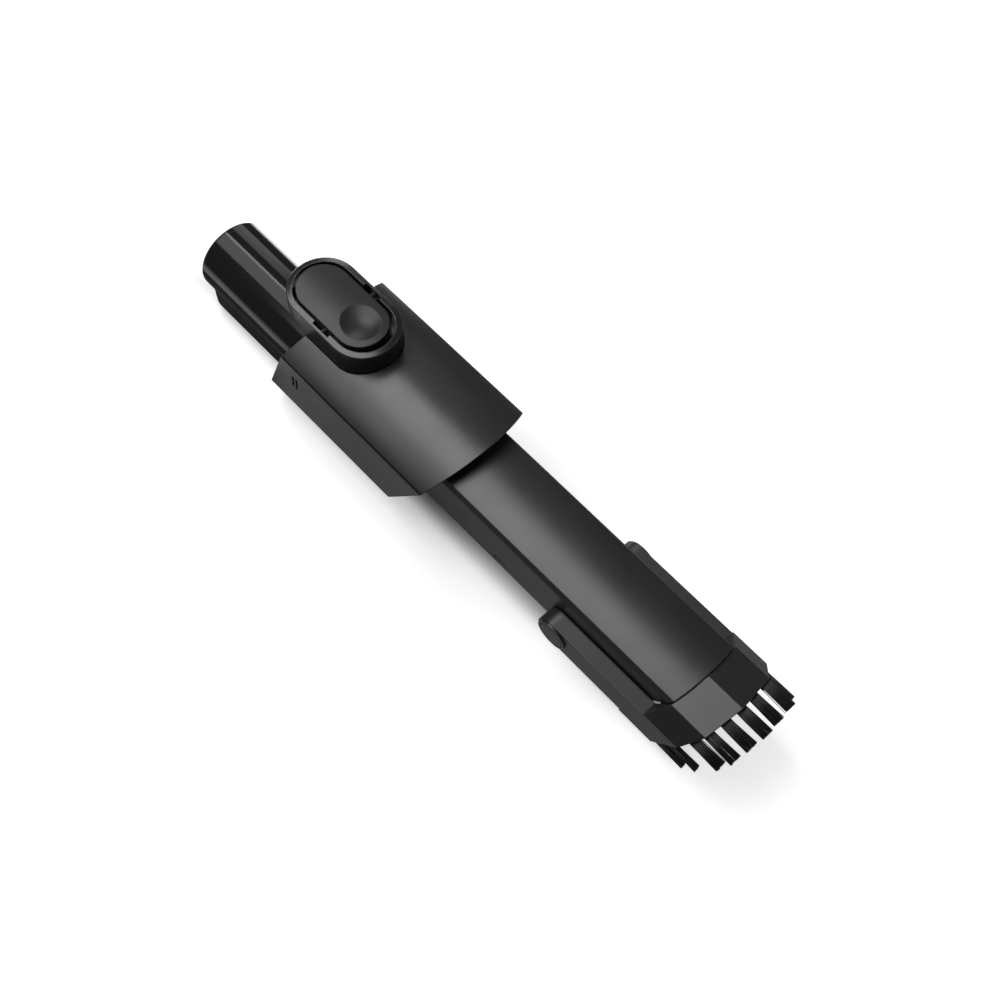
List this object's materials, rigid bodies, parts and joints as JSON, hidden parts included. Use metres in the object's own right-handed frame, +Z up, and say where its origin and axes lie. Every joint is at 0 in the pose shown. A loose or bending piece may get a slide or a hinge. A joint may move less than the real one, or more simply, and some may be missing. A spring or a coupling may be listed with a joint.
{
  "type": "vacuum crevice tool",
  "caption": "Black crevice tool: round coupling pipe, wide body with a rocker release button, long flat nozzle and a swing-down brush yoke at its mouth.",
  "frame": {"origin": "centre of the coupling pipe's rear end, on the pipe's axis", "axes": "+X from the coupling to the brush, +Z up, +Y to the left when looking forward"},
  "size_m": [0.3251, 0.0562, 0.0726],
  "materials": {
    "pipe_gloss": "glossy moulded black",
    "seal_rubber": "soft black seal",
    "body_satin": "satin black with a fine spark texture",
    "yoke_satin": "satin black",
    "rim_gloss": "half-gloss black",
    "button_satin": "satin black",
    "pin_steel": "drawn steel",
    "bristle": "black nylon filament"
  },
  "bodies": {
    "tool": {"coupling_pipe": "pipe_gloss", "pipe_gasket": "seal_rubber", "body_shell": "body_satin", "body_cover": "body_satin", "nozzle_tube": "body_satin", "yoke_pin_left": "yoke_satin", "yoke_pin_right": "yoke_satin", "button_housing": "rim_gloss", "rocker_pin": "button_satin", "button_spring": "pin_steel"},
    "button": {"release_button": "button_satin"},
    "brush": {"brush_yoke": "yoke_satin", "bristle_tuft_01": "bristle", "bristle_tuft_02": "bristle", "bristle_tuft_03": "bristle", "bristle_tuft_04": "bristle", "bristle_tuft_05": "bristle", "bristle_tuft_06": "bristle", "bristle_tuft_07": "bristle", "bristle_tuft_08": "bristle", "bristle_tuft_09": "bristle", "bristle_tuft_10": "bristle", "bristle_tuft_11": "bristle"}
  },
  "joints": [
    {"name": "button_rock", "type": "hinge", "parent": "tool", "child": "button", "pos_m": [0.0886, 0, 0.0466], "axis": [0, 1, 0], "range_deg": [0, 8], "stiffness_Nm_per_rad": 0.35, "springref_deg": -1.72, "deforming": ["button_spring"]},
    {"name": "brush_swing", "type": "hinge", "parent": "tool", "child": "brush", "pos_m": [0.2374, 0, 0.0105], "axis": [0, 1, 0], "range_deg": [0, 180]}
  ]
}
